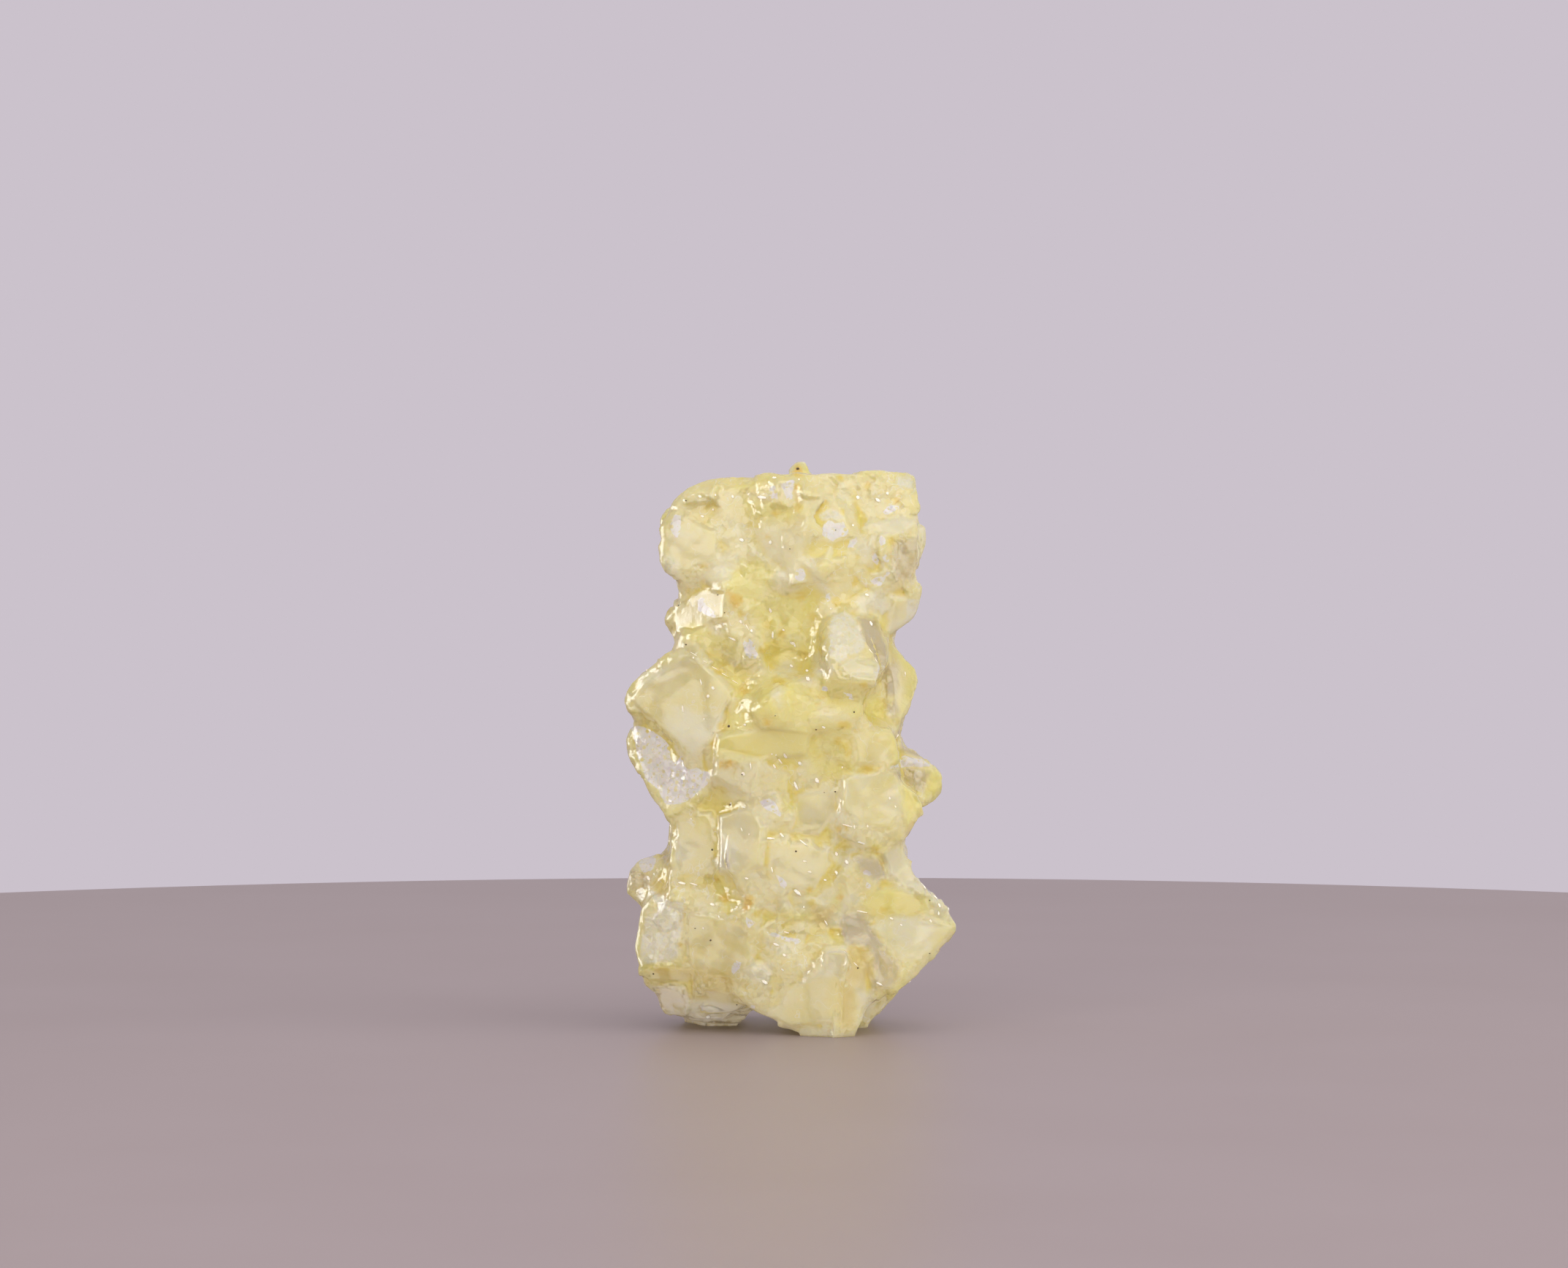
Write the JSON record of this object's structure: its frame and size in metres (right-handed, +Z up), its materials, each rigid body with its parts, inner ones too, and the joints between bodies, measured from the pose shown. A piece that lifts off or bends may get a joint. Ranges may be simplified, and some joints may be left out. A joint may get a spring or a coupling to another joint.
{
  "type": "crystal cluster",
  "caption": "Upright cluster of intergrown, blocky, pale yellow translucent crystals that stands on its lower crystals.",
  "frame": {"origin": "on the floor, under the middle of the cluster's width and depth", "axes": "+Z up along the cluster's long direction, the front looks along -Y, +X to the right seen from the front"},
  "size_m": [0.0404, 0.0312, 0.0691],
  "materials": {
    "crystal": "milky translucent crystal, pale yellow, with small glossy flat faces"
  },
  "bodies": {
    "root": {"crystal_cluster": "crystal"}
  },
  "joints": []
}
